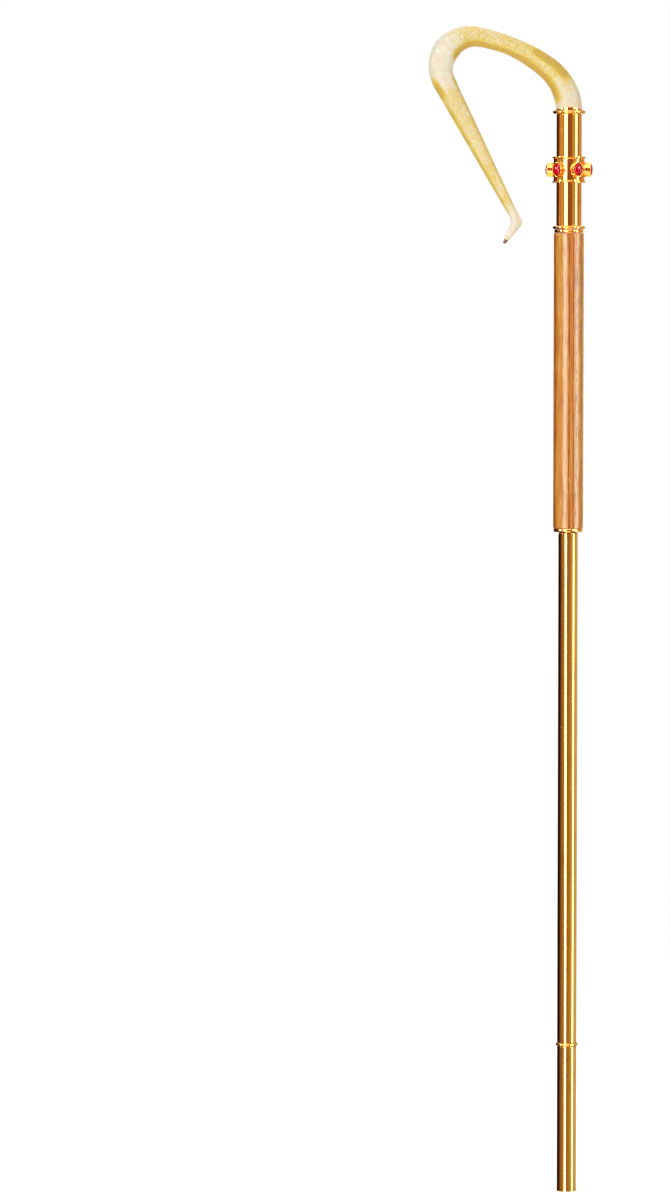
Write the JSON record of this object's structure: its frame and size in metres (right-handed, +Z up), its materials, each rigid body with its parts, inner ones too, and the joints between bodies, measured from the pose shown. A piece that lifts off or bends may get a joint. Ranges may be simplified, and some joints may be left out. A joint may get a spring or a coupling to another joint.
{
  "type": "crozier",
  "caption": "Pastoral staff: ivory-coloured hook on a jewelled gold collar, an oak grip, and brass tubes that screw together below it.",
  "frame": {"origin": "centre of the flat face at the foot of the staff, on the staff's axis", "axes": "+Z up the staff; the hook reaches towards -X; seen with the hook to the left when looking along +Y"},
  "size_m": [0.2235, 0.061, 1.5987],
  "materials": {
    "brass_tube": "polished",
    "gold_plate": "mirror polished, warm gold",
    "steel_rod": "zinc plated",
    "oak_wood": "satin varnish",
    "ivory_resin": "smooth, mottled with ochre",
    "dark_horn": "polished",
    "red_stone": "polished domed stone",
    "fibre_washer": "matt"
  },
  "bodies": {
    "foot_section": {"foot_plug": "brass_tube", "foot_tube": "brass_tube", "foot_stud": "brass_tube"},
    "lower_ring": {"joint_ring": "brass_tube"},
    "middle_section": {"middle_socket": "brass_tube", "middle_tube": "brass_tube", "middle_stud": "brass_tube"},
    "upper_washer": {"grip_washer": "fibre_washer"},
    "head_section": {"grip_lower_ferrule": "gold_plate", "grip_socket": "brass_tube", "tie_rod_nut": "steel_rod", "tie_rod_washer": "steel_rod", "tie_rod": "steel_rod", "oak_grip": "oak_wood", "grip_upper_ferrule": "gold_plate", "lower_flange": "gold_plate", "collar_tube": "gold_plate", "jewel_band": "gold_plate", "bezel_1": "gold_plate", "bezel_2": "gold_plate", "bezel_3": "gold_plate", "bezel_4": "gold_plate", "bezel_5": "gold_plate", "bezel_6": "gold_plate", "cabochon_1": "red_stone", "cabochon_2": "red_stone", "cabochon_3": "red_stone", "cabochon_4": "red_stone", "cabochon_5": "red_stone", "cabochon_6": "red_stone", "top_flange": "gold_plate", "crook_mouth": "gold_plate", "crook": "ivory_resin", "crook_tip": "dark_horn"}
  },
  "joints": [
    {"name": "lower_unscrew", "type": "hinge", "parent": "foot_section", "child": "lower_ring", "pos_m": [0, 0, 0.2035], "axis": [0, 0, 1], "range_deg": [0, 1800]},
    {"name": "lower_lift", "type": "slide", "parent": "lower_ring", "child": "middle_section", "axis": [0, 0, 1], "range_m": [0, 0.0201]},
    {"name": "upper_unscrew", "type": "hinge", "parent": "middle_section", "child": "upper_washer", "pos_m": [0, 0, 0.9086], "axis": [0, 0, 1], "range_deg": [0, 1800]},
    {"name": "upper_lift", "type": "slide", "parent": "upper_washer", "child": "head_section", "axis": [0, 0, 1], "range_m": [0, 0.0201]}
  ],
  "couplings": [
    {"joint": "lower_lift", "follows": "lower_unscrew", "m_per_rad": 0.0006366},
    {"joint": "upper_lift", "follows": "upper_unscrew", "m_per_rad": 0.0006366}
  ]
}
